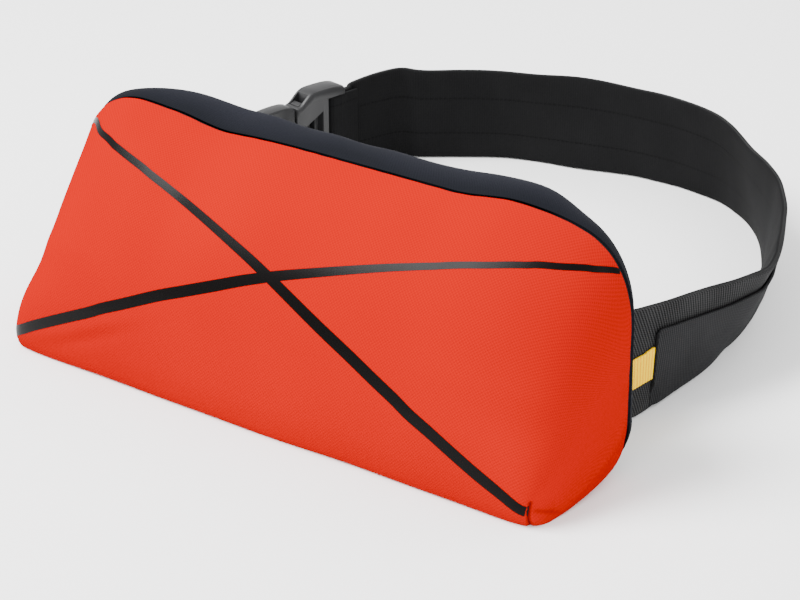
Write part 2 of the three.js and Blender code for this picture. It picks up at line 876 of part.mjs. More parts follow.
function bucklePlug() {
  let body = plate(edgeShape(plugEdge), plugThickness, 1.4);
  body = cutStrapBar(body, plugSlotFrom, strapEnd.bar, strapEnd.bar - barReach);
  const prongThickness = cavityThickness - 1.2;
  body = body.add(polygonPlate(guideEdge, prongThickness));
  body = body.add(polygonPlate(prongEdge, prongThickness));
  body = body.add(polygonPlate(prongEdge.map(([along, half]) => [along, -half]).reverse(), prongThickness));
  return placeBuckle(geometryFrom(body));
}

// A strap end that goes round a buckle bar and back on itself, seen from its edge.
// held is the thickness of the webbing between its tails.

function strapLoop({ tail, bar }, held) {
  const heading = Math.sign(bar - tail);
  const side = (gap, spread) => {
    const path = [[tail, -spread]];
    const steps = 8;
    const centre = bar + heading * (fitGap - gap * 0.4);
    path.push([centre - heading * 5, -gap]);
    for (let i = 0; i <= steps; i += 1) {
      const angle = Math.PI * (i / steps - 0.5);
      path.push([centre + heading * Math.cos(angle) * gap * 0.6, Math.sin(angle) * gap]);
    }
    path.push([centre - heading * 5, gap], [tail, spread]);
    return path;
  };
  const spread = held / 2 + fitGap;
  const inner = side(loopGap, spread);
  const outer = side(loopGap + strapThickness, spread + strapThickness);
  const ring = [...outer, ...inner.reverse()].map(([along, through]) => new THREE.Vector2(along, through));
  const shape = new THREE.Shape(THREE.ShapeUtils.isClockWise(ring) ? ring.reverse() : ring);
  const geometry = new THREE.ExtrudeGeometry(shape, { depth: strapWidth, bevelEnabled: false, steps: 1 });
  geometry.translate(0, 0, -strapWidth / 2);
  geometry.rotateZ(buckleTurn);
  geometry.translate(buckleMouth.side * loopHalf, backY + buckleMouth.back * loopReach, buckleMouth.height);
  return geometry;
}

function leftStrap() {
  return ribbon(strapRows, {
    span: { from: 0, to: strapRows.length - 1 },
    low: () => buckleMouth.height - strapWidth / 2,
    high: () => buckleMouth.height + strapWidth / 2,
    inner: -strapThickness / 2,
    outer: strapThickness / 2,
    levels: 1,
  });
}

const group = new THREE.Group();

function addPart(name, geometry, material) {
  const mesh = new THREE.Mesh(geometry, material);
  mesh.name = name;
  group.add(mesh);
}

addPart('front_panel', frontPanel(), cloth(colours.orange, 0.55));
addPart('seam_binding', seamBinding(), cloth(colours.black, 0.7));
addPart('gusset', gusset(), cloth(colours.slate, 0.85));
addPart('back_panel', backPanel(), cloth(colours.slate, 0.9));
addPart('cross_stripes', crossStripes(), cloth(colours.black, 0.3));
addPart('waist_band', waistBand(), cloth(colours.black, 0.85));
addPart('band_cover', bandCover(), cloth(colours.graphite, 0.85));
addPart('pull_tape', pullTape(), cloth(colours.yellow, 0.8));
addPart('buckle_socket', buckleSocket(), cloth(colours.grey, 0.45));
addPart('buckle_plug', bucklePlug(), cloth(colours.grey, 0.45));
addPart('band_loop', strapLoop(bandEnd, bandThickness), cloth(colours.black, 0.85));
addPart('left_strap', leftStrap(), cloth(colours.black, 0.85));
addPart('strap_loop', strapLoop(strapEnd, strapThickness), cloth(colours.black, 0.85));

export default group;
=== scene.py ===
import math

import bmesh
import bpy
import numpy as np
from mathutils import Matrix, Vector
from mathutils.bvhtree import BVHTree


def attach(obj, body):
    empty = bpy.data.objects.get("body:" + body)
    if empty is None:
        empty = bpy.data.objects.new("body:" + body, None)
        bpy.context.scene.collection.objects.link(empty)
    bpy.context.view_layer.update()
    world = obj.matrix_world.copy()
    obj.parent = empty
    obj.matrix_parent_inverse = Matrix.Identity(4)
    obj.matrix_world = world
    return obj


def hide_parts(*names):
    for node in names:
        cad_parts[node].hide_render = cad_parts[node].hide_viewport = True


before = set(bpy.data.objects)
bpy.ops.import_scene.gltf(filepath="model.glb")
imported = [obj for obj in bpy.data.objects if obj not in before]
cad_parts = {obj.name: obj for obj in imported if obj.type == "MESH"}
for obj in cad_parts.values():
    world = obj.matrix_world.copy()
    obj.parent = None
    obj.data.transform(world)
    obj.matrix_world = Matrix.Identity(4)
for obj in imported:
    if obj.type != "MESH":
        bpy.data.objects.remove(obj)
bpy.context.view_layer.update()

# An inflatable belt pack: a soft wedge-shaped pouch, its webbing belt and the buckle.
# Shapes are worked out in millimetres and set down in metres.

MM = 0.001
BODY = "root"


# Pouch sizes, as in the part's source but for a thinner front wall and softer dips of the seam

POUCH_HEIGHT = 109.0
POUCH_DEPTH = 86.5
GUSSET_DEPTH = 24.0
FRONT_WALL = 1.2
GUSSET_WALL = 3.0
BINDING_WIDTH = 1.7
PIPING_INSET, PIPING_TALL, PIPING_DEEP = 1.7, 1.15, 0.84
FIT_GAP = 0.3
SEAM_Y = POUCH_DEPTH / 2 - GUSSET_DEPTH
BACK_Y = POUCH_DEPTH / 2
FRONT_REACH = POUCH_DEPTH - GUSSET_DEPTH
SHOULDER_FROM, SHOULDER_TO = 0.4, 0.62
FRONT_BASE_CORNER = 4.5
CORNER_GROWTH = 0.36
FOOT_SHIFT = -2.8
FOOT_SAG, SAG_FROM, SAG_TO = 1.8, 60.0, -20.0
FRONT_TAPER = 0.033

# rise, place on x, half width, height, slope and half height of the front cloth's soft dents
SOFT_DENTS = [
    (-1.5, -86.0, 26.0, 101.0, -0.16, 4.5), (-0.8, 60.0, 46.0, 96.0, 0.0, 9.0),
    (0.7, -98.0, 26.0, 23.94, 0.42, 3.4), (-0.6, -98.0, 24.0, 17.94, 0.42, 3.2)]

# the stitched dart by each low corner, the tuck beside it and the slanting fold beyond it
DART_AT, DART_LEAN, DART_TOP = 143.6, 0.10, 13.2
DART_DEPTH, DART_HALF, TUCK_DEPTH = 0.8, 0.65, 0.45
FOLD_AT, FOLD_DEPTH, FOLD_HEIGHT, FOLD_SLOPE = 144.9, 1.5, 10.2, 0.4
FOLD_SPREAD, FOLD_FADES_AT = 8.0, 149.0

# how far the gusset rolls in at the back and bulges at the top, and how wide its painted shade beside
# the seam is
GUSSET_ROLL = 5.5
GUSSET_CROWN = 2.8
SEAM_SHADE = 22.0

# outlines of the seam and the back; a dip of the top edge is its place on x, half width and depth
SEAM = dict(half=151.5, top=POUCH_HEIGHT, rise=3.5, corner_width=42.0, corner_height=45.0,
            corner_square=2.3, base_corner=16.0, base_tall=1.65, lift=0.0, shift=0.0,
            dips=[(-78.0, 30.0, 2.4), (122.0, 16.0, 1.8)])
BACK = dict(half=137.0, top=POUCH_HEIGHT + 0.5, rise=2.2, corner_width=54.0, corner_height=51.0,
            corner_square=2.1, base_corner=22.0, base_tall=1.0, lift=3.0, shift=-4.5,
            dips=[])

# height, reach and squareness of the front panel's rows, from the top seam round to the base
FRONT_PROFILE = np.array([
    (1.0, 0.0, 2.2), (0.962, 0.165, 2.25), (0.88, 0.375, 2.45), (0.775, 0.57, 2.85),
    (0.645, 0.752, 3.4), (0.495, 0.885, 4.3), (0.33, 0.965, 6.5), (0.17, 1.0, 15),
    (0.075, 0.995, 20), (0.02, 0.965, 20), (0.0, 0.9, 20), (0.0, 0.45, 26), (0.0, 0.0, 26)])

# depth, mix, crown and roll of the gusset's rings, from the seam to the back
GUSSET_RINGS = np.array([
    (0.0, 0.0, 0, 0), (0.25, 0.18, 0.8, 0), (0.55, 0.46, 1.0, 0), (0.8, 0.8, 0.7, 0.08),
    (0.94, 1.0, 0.2, 0.4), (1.0, 1.0, 0, 1.0)])

# place on x, half width and rise of the soft swellings along the gusset's top, and of its one dent
GUSSET_SWELLS = [(119.0, 10.0, -0.8), (99.0, 12.0, 0.9), (-140.0, 15.0, 3.2), (-52.0, 15.0, 1.0)]
TOP_SWELLS_FROM = 55
END_SWELL, END_SWELL_AT, END_SWELL_FROM = 2.2, 20.0, 100

# inset and sink of the back pad's rings, from the hidden lip over the rim to the flat
PAD_RIM = [(-3.0, 3.7), (-0.9, 3.6), (0.0, 2.6), (0.0, 1.4), (0.6, 0.5), (1.6, 0.1), (3.5, 0.0),
           (7, 0.25), (9, 0.45), (11, 0.25), (15, 0.0)]
PAD_WALL = 1.6

# across, down and share of the full width along the two stripes' centre lines on the front panel
STRIPE_WIDTH = 5.2
STRIPE_FILM, STRIPE_LIFT, STRIPE_OVERLAP = 0.22, 0.10, 0.05
STRIPE_PATHS = [
    np.array([(0.802, 0.663, 0.95), (0.7825, 0.6393, 0.95), (0.754, 0.5961, 0.96),
              (0.7104, 0.5454, 0.97), (0.69, 0.522, 0.98), (0.6716, 0.4966, 0.99),
              (0.6314, 0.4495, 1.01), (0.5892, 0.4125, 1.02), (0.5579, 0.3845, 1.01),
              (0.5225, 0.3519, 0.96), (0.4724, 0.3125, 0.87), (0.3689, 0.2431, 0.7),
              (0.3243, 0.2236, 0.66), (0.277, 0.209, 0.61), (0.2252, 0.1856, 0.58),
              (0.1509, 0.1572, 0.57), (0.1109, 0.1208, 0.55), (0.093, 0.0858, 0.52),
              (0.0815, 0.0459, 0.5), (0.0765, 0.022, 0.5), (0.0743, 0.006, 0.5),
              (0.0728, -0.0068, 0.5)]),
    np.array([(0.9385, -0.002, 0.4), (0.936, 0.006, 0.42), (0.9298, 0.022, 0.46),
              (0.9215, 0.0418, 0.55), (0.9043, 0.0827, 0.55), (0.8652, 0.1523, 0.56),
              (0.8173, 0.1794, 0.6), (0.7725, 0.1919, 0.64), (0.7245, 0.2053, 0.67),
              (0.7036, 0.2124, 0.68), (0.675, 0.2201, 0.69), (0.6472, 0.2318, 0.7),
              (0.6189, 0.25, 0.72), (0.5685, 0.2856, 0.78), (0.5229, 0.32, 0.86),
              (0.4747, 0.3633, 0.93), (0.4232, 0.4125, 1.01), (0.3874, 0.448, 1.04),
              (0.3532, 0.4843, 1.05), (0.3333, 0.5108, 1.05), (0.3083, 0.5368, 1.05),
              (0.2604, 0.5888, 1.05), (0.2376, 0.6166, 0.98), (0.2163, 0.6509, 0.92),
              (0.2061, 0.6574, 0.9), (0.1965, 0.6583, 0.92)])]


# Belt sizes, as in the part's source but for the cover's height and corner and the tape's end

# half width and reach of the belt's loop, which its courses are given in
LOOP_HALF = 150.0
LOOP_REACH = 267.0
BAND_HEIGHT = 51.6
BAND_THICKNESS = 3.0
BAND_LEAN = 27
BAND_LIFT = BAND_THICKNESS / 2 * math.sin(math.radians(BAND_LEAN))
BAND_RIPPLE, BAND_WAVE = 0.22, 0.45
BAND_END_DROP, BAND_END_FROM = 4.0, 0.9
STRAP_WIDTH = 40.0
STRAP_THICKNESS = 2.0

# place along the band, half width and height of the two rises of its lower edge
FOOT_RISES = [(325.0, 7.0, 2.0), (374.0, 10.0, 2.4)]

# cover strip and pull tape on the band's outside, from row to row of its course
COVER_HEIGHT = 40.0
COVER_THICKNESS = 1.5
COVER_GAP = 0.65
COVER_LIFT = 1.1
COVER_ROWS = (8.32, 30.5)
COVER_CORNER = 2.8
COVER_THINNING = (0.5, 1.4)
COVER_START = 257.0
TAPE_WIDTH = 14.5
TAPE_THICKNESS = 1.1
TAPE_ROWS = (5.0, 8.29)
TAPE_HEIGHTS = (12.0, 15.5)
TAPE_TIP = 1.4
TAPE_RIB, TAPE_RIB_PITCH = 0.09, 1.7

# the buckle's middle in shares of the loop, its height and its turn; ends, tails and bars along it
MOUTH_SIDE, MOUTH_BACK, MOUTH_HEIGHT = -1.058, 0.528, 27.4
BUCKLE_TURN = math.radians(90 - 10.6)
BAND_END = dict(end=38.0, tail=45.0, bar=26.6)
STRAP_END = dict(end=-29.0, tail=-41.0, bar=-22.0)
LOOP_GAP = 2.8

# the webbing's outside has its UV map moved up by this much, so that its weave can differ
OUTSIDE_SHIFT = 200.0
TWILL_SLANT = -20
STITCH_HEIGHTS = (14.7, 35.4)
STITCH_HALF, STITCH_PITCH = 0.4, 2.6

# side, back and lean along the belt, from behind the pouch round to the buckle
BAND_COURSE = [
    (-0.72, 0.007, 0), (-0.4, 0.007, 0), (0.0, 0.007, 0), (0.4, 0.007, 0), (0.7, 0.007, 0),
    (0.765, 0.017, -1), (0.81, 0.045, -3), (0.833, 0.085, -2), (0.84, 0.118, 1), (0.838, 0.167, 7),
    (0.837, 0.26, 15), (0.834, 0.33, 21), (0.82, 0.395, 26), (0.811, 0.45, 24), (0.797, 0.497, 20),
    (0.774, 0.555, 16.5), (0.734, 0.63, 11.5), (0.681, 0.712, 5), (0.618, 0.78, -2),
    (0.54, 0.846, -8), (0.445, 0.906, -9.5), (0.355, 0.947, -9), (0.24, 0.982, -7.5),
    (0.08, 0.998, -5), (-0.08, 0.998, -3.5), (-0.213, 0.983, 0), (-0.347, 0.961, 2),
    (-0.48, 0.947, -3), (-0.613, 0.921, -4), (-0.747, 0.869, -2), (-0.86, 0.824, -3),
    (-0.94, 0.793, 0)]
STRAP_COURSE = [
    (-0.46, 0.0175, 0), (-0.62, 0.0175, 0), (-0.745, 0.022, 0), (-0.81, 0.05, 0), (-0.862, 0.105, 0),
    (-0.93, 0.18, 0), (-1.0, 0.26, 0), (-1.065, 0.33, 0)]


# Curves and outlines

def ease(share):
    t = np.clip(share, 0, 1)
    return t * t * (3 - 2 * t)


def mix(a, b, share):
    return a + (b - a) * share


def row_of(table, place):
    """A smooth row of a table at a fractional row number."""
    last = len(table) - 1
    index = min(last - 1, int(place))
    a, b, c, d = (table[min(last, max(0, index + k))] for k in (-1, 0, 1, 2))
    t = place - index
    bend, twist = 2 * a - 5 * b + 4 * c - d, 3 * b - a - 3 * c + d
    return (2 * b + (c - a) * t + bend * t ** 2 + twist * t ** 3) / 2


def top_at(o, x):
    """Height of an outline's top edge, with its soft dips, on either side of the middle."""
    away = np.abs(x)
    shoulder = (away / o["half"] - SHOULDER_FROM) / (SHOULDER_TO - SHOULDER_FROM)
    edge = o["top"] + o["rise"] * ease(shoulder)
    centre = o["top"] + o["rise"] - o["corner_height"]
    into = np.maximum(0, (away - o["half"] + o["corner_width"]) / o["corner_width"])
    square = o["corner_square"]
    dip = sum(depth * np.exp(-((x - at) / width) ** 2) for at, width, depth in o["dips"])
    return centre + (edge - centre) * np.maximum(0, 1 - into ** square) ** (1 / square) - dip


def base_at(o, x, corner=None):
    corner = o["base_corner"] if corner is None else corner
    into = np.maximum(0, (np.abs(x) - o["half"] + corner) / corner)
    return o["lift"] + o["base_tall"] * corner * (1 - np.sqrt(np.maximum(0, 1 - into * into)))


def outline(o, edge=40, corner=28):
    """Points round an outline, anticlockwise seen from the front, from the middle of the base."""
    def half(side):
        flat_base = o["half"] - o["base_corner"]
        flat_top = o["half"] - o["corner_width"]
        turn = np.linspace(0, math.pi / 2, corner, endpoint=False)
        level = np.linspace(0, flat_base, edge, endpoint=False)
        low = np.concatenate([level, flat_base + o["base_corner"] * np.sin(turn)])
        into = np.cos(np.append(turn, math.pi / 2)) ** (2 / o["corner_square"])
        back = flat_top * (1 - np.linspace(0, 1, edge + 1)[1:])
        high = np.concatenate([o["half"] - o["corner_width"] * (1 - into), back])
        base = np.stack([low, base_at(o, low)], 1)
        top = np.stack([high, top_at(o, side * high)], 1)
        return np.concatenate([base, top]) * [side, 1] + [o["shift"], 0]

    return np.concatenate([half(1), half(-1)[1:-1][::-1]])


def inset(points, amount):
    along = np.roll(points, -1, 0) - np.roll(points, 1, 0)
    along = along / np.linalg.norm(along, axis=1, keepdims=True)
    return points + np.stack([-along[:, 1], along[:, 0]], 1) * np.reshape(amount, (-1, 1))


# Mesh helpers

def new_piece(name, points_mm, faces, uvs=None):
    """A mesh object from points in millimetres; uvs is one pair per point, in millimetres."""
    mesh = bpy.data.meshes.new(name)
    mesh.from_pydata((np.asarray(points_mm) * MM).tolist(), [], faces)
    mesh.validate()
    if uvs is not None:
        layer = mesh.uv_layers.new(name="UVMap")
        order = np.empty(len(mesh.loops), dtype=np.int32)
        mesh.loops.foreach_get("vertex_index", order)
        layer.data.foreach_set("uv", (np.asarray(uvs)[order] * MM).astype(np.float32).ravel())
    obj = bpy.data.objects.new(name, mesh)
    bpy.context.scene.collection.objects.link(obj)
    return obj


def grid_faces(rows, columns, wrap=False, flip=False):
    faces = []
    for r in range(rows - 1):
        for c in range(columns if wrap else columns - 1):
            d = (c + 1) % columns
            face = (r * columns + c, r * columns + d, (r + 1) * columns + d, (r + 1) * columns + c)
            faces.append(face[::-1] if flip else face)
    return faces


def apply_modifier(obj, kind, **settings):
    bpy.ops.object.select_all(action="DESELECT")
    bpy.context.view_layer.objects.active = obj
    obj.select_set(True)
    modifier = obj.modifiers.new(kind.title(), kind)
    for key, value in settings.items():
        setattr(modifier, key, value)
    bpy.ops.object.modifier_apply(modifier=modifier.name)


def smooth(obj, angle=40):
    bpy.ops.object.select_all(action="DESELECT")
    bpy.context.view_layer.objects.active = obj
    obj.select_set(True)
    bpy.ops.object.shade_smooth_by_angle(angle=math.radians(angle))


def dress(obj, material, slot, *nodes):
    """Gives a piece its finish and its body and hides the CAD nodes that it stands for; its slot is
    not used.
    """
    obj.data.materials.clear()
    obj.data.materials.append(material)
    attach(obj, BODY)
    if nodes:
        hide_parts(*nodes)
    return obj


def lengths(points):
    steps = np.linalg.norm(np.diff(points, axis=0), axis=-1)
    return np.concatenate([np.zeros((1,) + steps.shape[1:]), np.cumsum(steps, 0)])


# Materials

class Finish:
    """A Principled material with helpers for patterns on a piece's own UV map."""

    def __init__(self, name, roughness, specular):
        self.material = bpy.data.materials.new(name)
        self.material.use_nodes = True
        self.nodes = self.material.node_tree.nodes
        self.links = self.material.node_tree.links
        self.shader = self.nodes["Principled BSDF"]
        self.shader.inputs["Roughness"].default_value = roughness
        self.shader.inputs["Specular IOR Level"].default_value = specular
        self.coords = self.nodes.new("ShaderNodeTexCoord")

    def math(self, operation, first, second=None):
        node = self.nodes.new("ShaderNodeMath")
        node.operation = operation
        for socket, value in zip(node.inputs, (first, second)):
            if value is None:
                continue
            if isinstance(value, (int, float)):
                socket.default_value = value
            else:
                self.links.new(value, socket)
        return node.outputs[0]

    def turned_uv(self, degrees):
        mapping = self.nodes.new("ShaderNodeMapping")
        mapping.inputs["Rotation"].default_value[2] = math.radians(degrees)
        self.links.new(self.coords.outputs["UV"], mapping.inputs["Vector"])
        split = self.nodes.new("ShaderNodeSeparateXYZ")
        self.links.new(mapping.outputs[0], split.inputs[0])
        return split.outputs[0], split.outputs[1]

    def wave(self, coordinate, pitch_mm):
        return self.math("SINE", self.math("MULTIPLY", coordinate, 2 * math.pi / (pitch_mm * MM)))

    def noise(self, scale, detail=3.0, rough=0.5):
        node = self.nodes.new("ShaderNodeTexNoise")
        node.inputs["Scale"].default_value = scale
        node.inputs["Detail"].default_value = detail
        node.inputs["Roughness"].default_value = rough
        self.links.new(self.coords.outputs["Object"], node.inputs["Vector"])
        return node.outputs["Fac"]

    def attribute(self, name):
        node = self.nodes.new("ShaderNodeAttribute")
        node.attribute_name = name
        return node.outputs["Fac"]

    def ramp(self, factor, stops):
        node = self.nodes.new("ShaderNodeValToRGB")
        elements = node.color_ramp.elements
        while len(elements) < len(stops):
            elements.new(0.5)
        for element, (position, colour) in zip(elements, stops):
            element.position = position
            element.color = (*colour, 1)
        self.links.new(factor, node.inputs[0])
        return node.outputs[0]

    def blend(self, factor, first, second):
        node = self.nodes.new("ShaderNodeMix")
        node.data_type = "RGBA"
        sockets = node.inputs[0], node.inputs[6], node.inputs[7]
        for socket, value in zip(sockets, (factor, first, second)):
            if isinstance(value, tuple):
                socket.default_value = (*value, 1)
            elif isinstance(value, (int, float)):
                socket.default_value = value
            else:
                self.links.new(value, socket)
        return node.outputs[2]

    def colour(self, value):
        self.links.new(value, self.shader.inputs["Base Color"])

    def bump(self, height, distance_mm, strength=1.0, under=None):
        node = self.nodes.new("ShaderNodeBump")
        node.inputs["Strength"].default_value = strength
        node.inputs["Distance"].default_value = distance_mm * MM
        self.links.new(height, node.inputs["Height"])
        if under is not None:
            self.links.new(under, node.inputs["Normal"])
        self.links.new(node.outputs[0], self.shader.inputs["Normal"])
        return node.outputs[0]


def orange_cloth():
    f = Finish("orange_cloth", 0.6, specular=0.0)
    u, v = f.turned_uv(0)
    weave = f.math("MULTIPLY", f.wave(u, 1.7), f.wave(v, 1.7))
    grid = f.math("ADD", f.math("MULTIPLY", weave, 0.5), 0.5)
    base = f.ramp(f.noise(9.0, 2.0), [(0.3, (0.33, 0.003, 0.001)), (0.7, (0.37, 0.0045, 0.001))])
    cloth = f.blend(f.math("MULTIPLY", grid, 0.34), base, (0.15, 0.0, 0.001))
    # painted shade: the cloth is darkened where crease_shade marks the dart's groove and the fold line
    f.colour(f.blend(f.attribute("crease_shade"), cloth, (0.02, 0.0, 0.0)))
    fine = f.bump(f.noise(900.0, 2.0), 0.03, 0.4)
    f.bump(weave, 0.06, 0.6, fine)
    return f.material


def slate_cloth():
    f = Finish("slate_cloth", 0.85, specular=0.06)
    u, v = f.turned_uv(0)
    fine = f.noise(1100.0, 3.0, 0.6)
    # painted shade: the gusset's colour is darker beside the seam and grows lighter over SEAM_SHADE
    # towards the back
    away = f.math("MULTIPLY", v, 1 / (SEAM_SHADE * MM))
    cloudy = f.math("MULTIPLY", f.noise(14.0, 2.0), 0.5)
    tone = f.math("ADD", cloudy, f.math("MULTIPLY", away, 0.5))
    base = f.ramp(tone, [(0.25, (0.005, 0.0055, 0.008)), (0.8, (0.0145, 0.015, 0.021))])
    streaks = f.math("MULTIPLY", f.wave(u, 1.4), f.noise(300.0, 2.0))
    grain = f.math("ADD", f.math("MULTIPLY", fine, 0.55), f.math("MULTIPLY", streaks, 0.2))
    f.colour(f.blend(grain, base, (0.002, 0.0025, 0.004)))
    soft = f.bump(f.noise(60.0, 3.0), 0.5, 0.4)
    f.bump(grain, 0.25, 0.8, soft)
    return f.material


def black_trim():
    f = Finish("black_trim", 0.75, specular=0.15)
    u, _ = f.turned_uv(0)
    ribs = f.wave(u, 1.2)
    f.colour(f.ramp(f.math("ADD", f.math("MULTIPLY", ribs, 0.5), 0.5),
                    [(0.0, (0.002, 0.002, 0.002)), (1.0, (0.006, 0.006, 0.006))]))
    f.bump(ribs, 0.1, 0.5)
    return f.material


def stripe_film():
    f = Finish("stripe_film", 0.32, specular=0.055)
    grain = f.noise(1600.0, 2.0, 0.6)
    f.colour(f.ramp(grain, [(0.3, (0.001, 0.0005, 0.0005)), (0.75, (0.002, 0.0015, 0.0015))]))
    f.bump(grain, 0.05, 0.5)
    return f.material


def webbing(name, dark, light, inner, pitch):
    """Webbing with upright ribs and two stitch lines inside and slanting twill outside; its inside is
    painted darker, as painted shade.
    """
    f = Finish(name, 0.85, specular=0.08)
    u, v = f.turned_uv(0)
    outside = f.math("GREATER_THAN", v, OUTSIDE_SHIFT / 2 * MM)
    slant_u, slant_v = f.turned_uv(TWILL_SLANT)
    cross_weave = f.math("ADD", f.math("MULTIPLY", f.wave(slant_v, 1.2), 0.45), 0.55)
    twill = f.math("MULTIPLY", f.wave(slant_u, pitch), cross_weave)
    rib_weave = f.math("ADD", f.math("MULTIPLY", f.wave(v, 1.8), 0.3), 0.3)
    ribs = f.math("MULTIPLY", f.wave(u, 1.3), rib_weave)
    pattern = f.math("ADD", f.math("MULTIPLY", twill, outside),
                     f.math("MULTIPLY", ribs, f.math("SUBTRACT", 1.0, outside)))
    height = f.math("ADD", f.math("MULTIPLY", pattern, 0.5), 0.5)
    worn = f.noise(40.0, 3.0)
    tone = f.math("ADD", f.math("MULTIPLY", height, 0.75), f.math("MULTIPLY", worn, 0.35))
    # painted shade: the inside's colours run darker than the outside's
    weave = f.blend(outside, f.ramp(tone, [(0.1, dark), (0.95, inner)]),
                    f.ramp(tone, [(0.3, dark), (0.85, light)]))
    stitches = 0.0
    for line in STITCH_HEIGHTS:
        off = f.math("ABSOLUTE", f.math("SUBTRACT", v, line * MM))
        stitches = f.math("ADD", f.math("LESS_THAN", off, STITCH_HALF * MM), stitches)
    gaps = f.math("ADD", f.math("MULTIPLY", f.wave(u, STITCH_PITCH), 0.3), 0.5)
    stitches = f.math("MULTIPLY", stitches, gaps)
    f.colour(f.blend(stitches, weave, dark))
    soft = f.bump(worn, 0.5, 0.4)
    sewn = f.bump(stitches, -0.3, 0.8, soft)
    f.bump(height, 0.22, 0.8, sewn)
    return f.material


def yellow_tape():
    f = Finish("yellow_tape", 0.8, specular=0.03)
    u, v = f.turned_uv(0)
    ribs = f.math("ADD", f.math("MULTIPLY", f.wave(u, 1.7), 0.5), 0.5)
    f.colour(f.ramp(ribs, [(0.0, (0.8, 0.36, 0.0)), (0.6, (0.92, 0.6, 0.0))]))
    threads = f.bump(f.wave(v, 0.7), 0.05, 0.4)
    f.bump(ribs, 0.2, 0.6, threads)
    return f.material


def buckle_plastic():
    f = Finish("buckle_plastic", 0.4, specular=0.25)
    grain = f.noise(2200.0, 2.0)
    f.colour(f.ramp(f.noise(30.0, 2.0), [(0.3, (0.013, 0.013, 0.014)), (0.75, (0.019, 0.019, 0.020))]))
    f.bump(grain, 0.03, 0.4)
    return f.material


def spacer_mesh():
    f = Finish("spacer_mesh", 0.85, specular=0.2)
    u, v = f.turned_uv(45)
    holes = f.math("MULTIPLY", f.wave(u, 3.2), f.wave(v, 3.2))
    tone = f.math("ADD", f.math("MULTIPLY", holes, 0.5), 0.5)
    f.colour(f.ramp(tone, [(0.2, (0.004, 0.005, 0.007)), (0.9, (0.022, 0.025, 0.034))]))
    f.bump(tone, 0.5, 0.8)
    return f.material


# Front panel

# shares of half a row's columns: evenly round the end, then closer by the dart than on the face
PART_END_SHARE = 10 / 24
END_SHARES = np.linspace(0, 1, 65)
FACE_SHARES = np.concatenate([np.linspace(0, 0.06, 18), np.linspace(0.06, 1, 72)[1:]])
END_CROWDING, FACE_CROWDING = 1.25, 1.15
PANEL_ROWS = 140


def column_of(across):
    """The column of a share of the panel's width, counted as the part's source counts it."""
    columns = len(END_SHARES) + len(FACE_SHARES) - 1
    half = 2 * min(across, 1 - across)
    ends = len(END_SHARES) - 1
    if half <= PART_END_SHARE:
        column = ends * half / PART_END_SHARE
    else:
        share = (half - PART_END_SHARE) / (1 - PART_END_SHARE)
        column = ends + np.interp(share, FACE_SHARES, np.arange(len(FACE_SHARES)))
    return column if across <= 0.5 else 2 * (columns - 1) - column


def panel_row(place):
    """One row of the front panel from its right rim to its left, spread by length."""
    height, reach, square = row_of(FRONT_PROFILE, place)
    height = max(0.0, height)
    share = place / (len(FRONT_PROFILE) - 1)
    turn = 0.5 ** (1 / square)

    def points(side, away, out):
        near = reach * out
        x = side * SEAM["half"] * away * (1 - FRONT_TAPER * near)
        corner = mix(SEAM["base_corner"], FRONT_BASE_CORNER, near ** CORNER_GROWTH)
        rim_top, rim_low = top_at(SEAM, side * SEAM["half"]), base_at(SEAM, SEAM["half"])
        rim = mix(rim_top, rim_low, share) - mix(rim_low, rim_top, height)
        z = mix(base_at(SEAM, x, corner), top_at(SEAM, x), height) + rim * (1 - ease(out / turn))
        foot = near ** 2 * (1 - height) ** 3
        sag = FOOT_SAG * ease((x - SAG_FROM) / (SAG_TO - SAG_FROM))
        return np.stack([x + FOOT_SHIFT * foot, SEAM_Y - FRONT_REACH * near - sag * foot, z], 1)

    def spread(path, shares):
        run = lengths(path)
        return np.stack([np.interp(shares * run[-1], run, path[:, k]) for k in range(3)], 1)

    def half(side):
        fine = np.linspace(0, 1, 161)
        out = turn * fine
        end = points(side, np.maximum(0, 1 - out ** square) ** (1 / square), out)
        away = turn * (1 - fine)
        front = points(side, away, np.maximum(0, 1 - away ** square) ** (1 / square))
        end = spread(end, 1 - (1 - END_SHARES) ** END_CROWDING)
        return np.concatenate([end, spread(front, FACE_SHARES[1:] ** FACE_CROWDING)])

    return np.concatenate([half(1), half(-1)[:-1][::-1]])


def grid_normals(grid):
    down = np.gradient(grid, axis=0)
    left = np.gradient(grid, axis=1)
    normal = np.cross(left, down)
    return normal / np.maximum(1e-9, np.linalg.norm(normal, axis=2, keepdims=True))


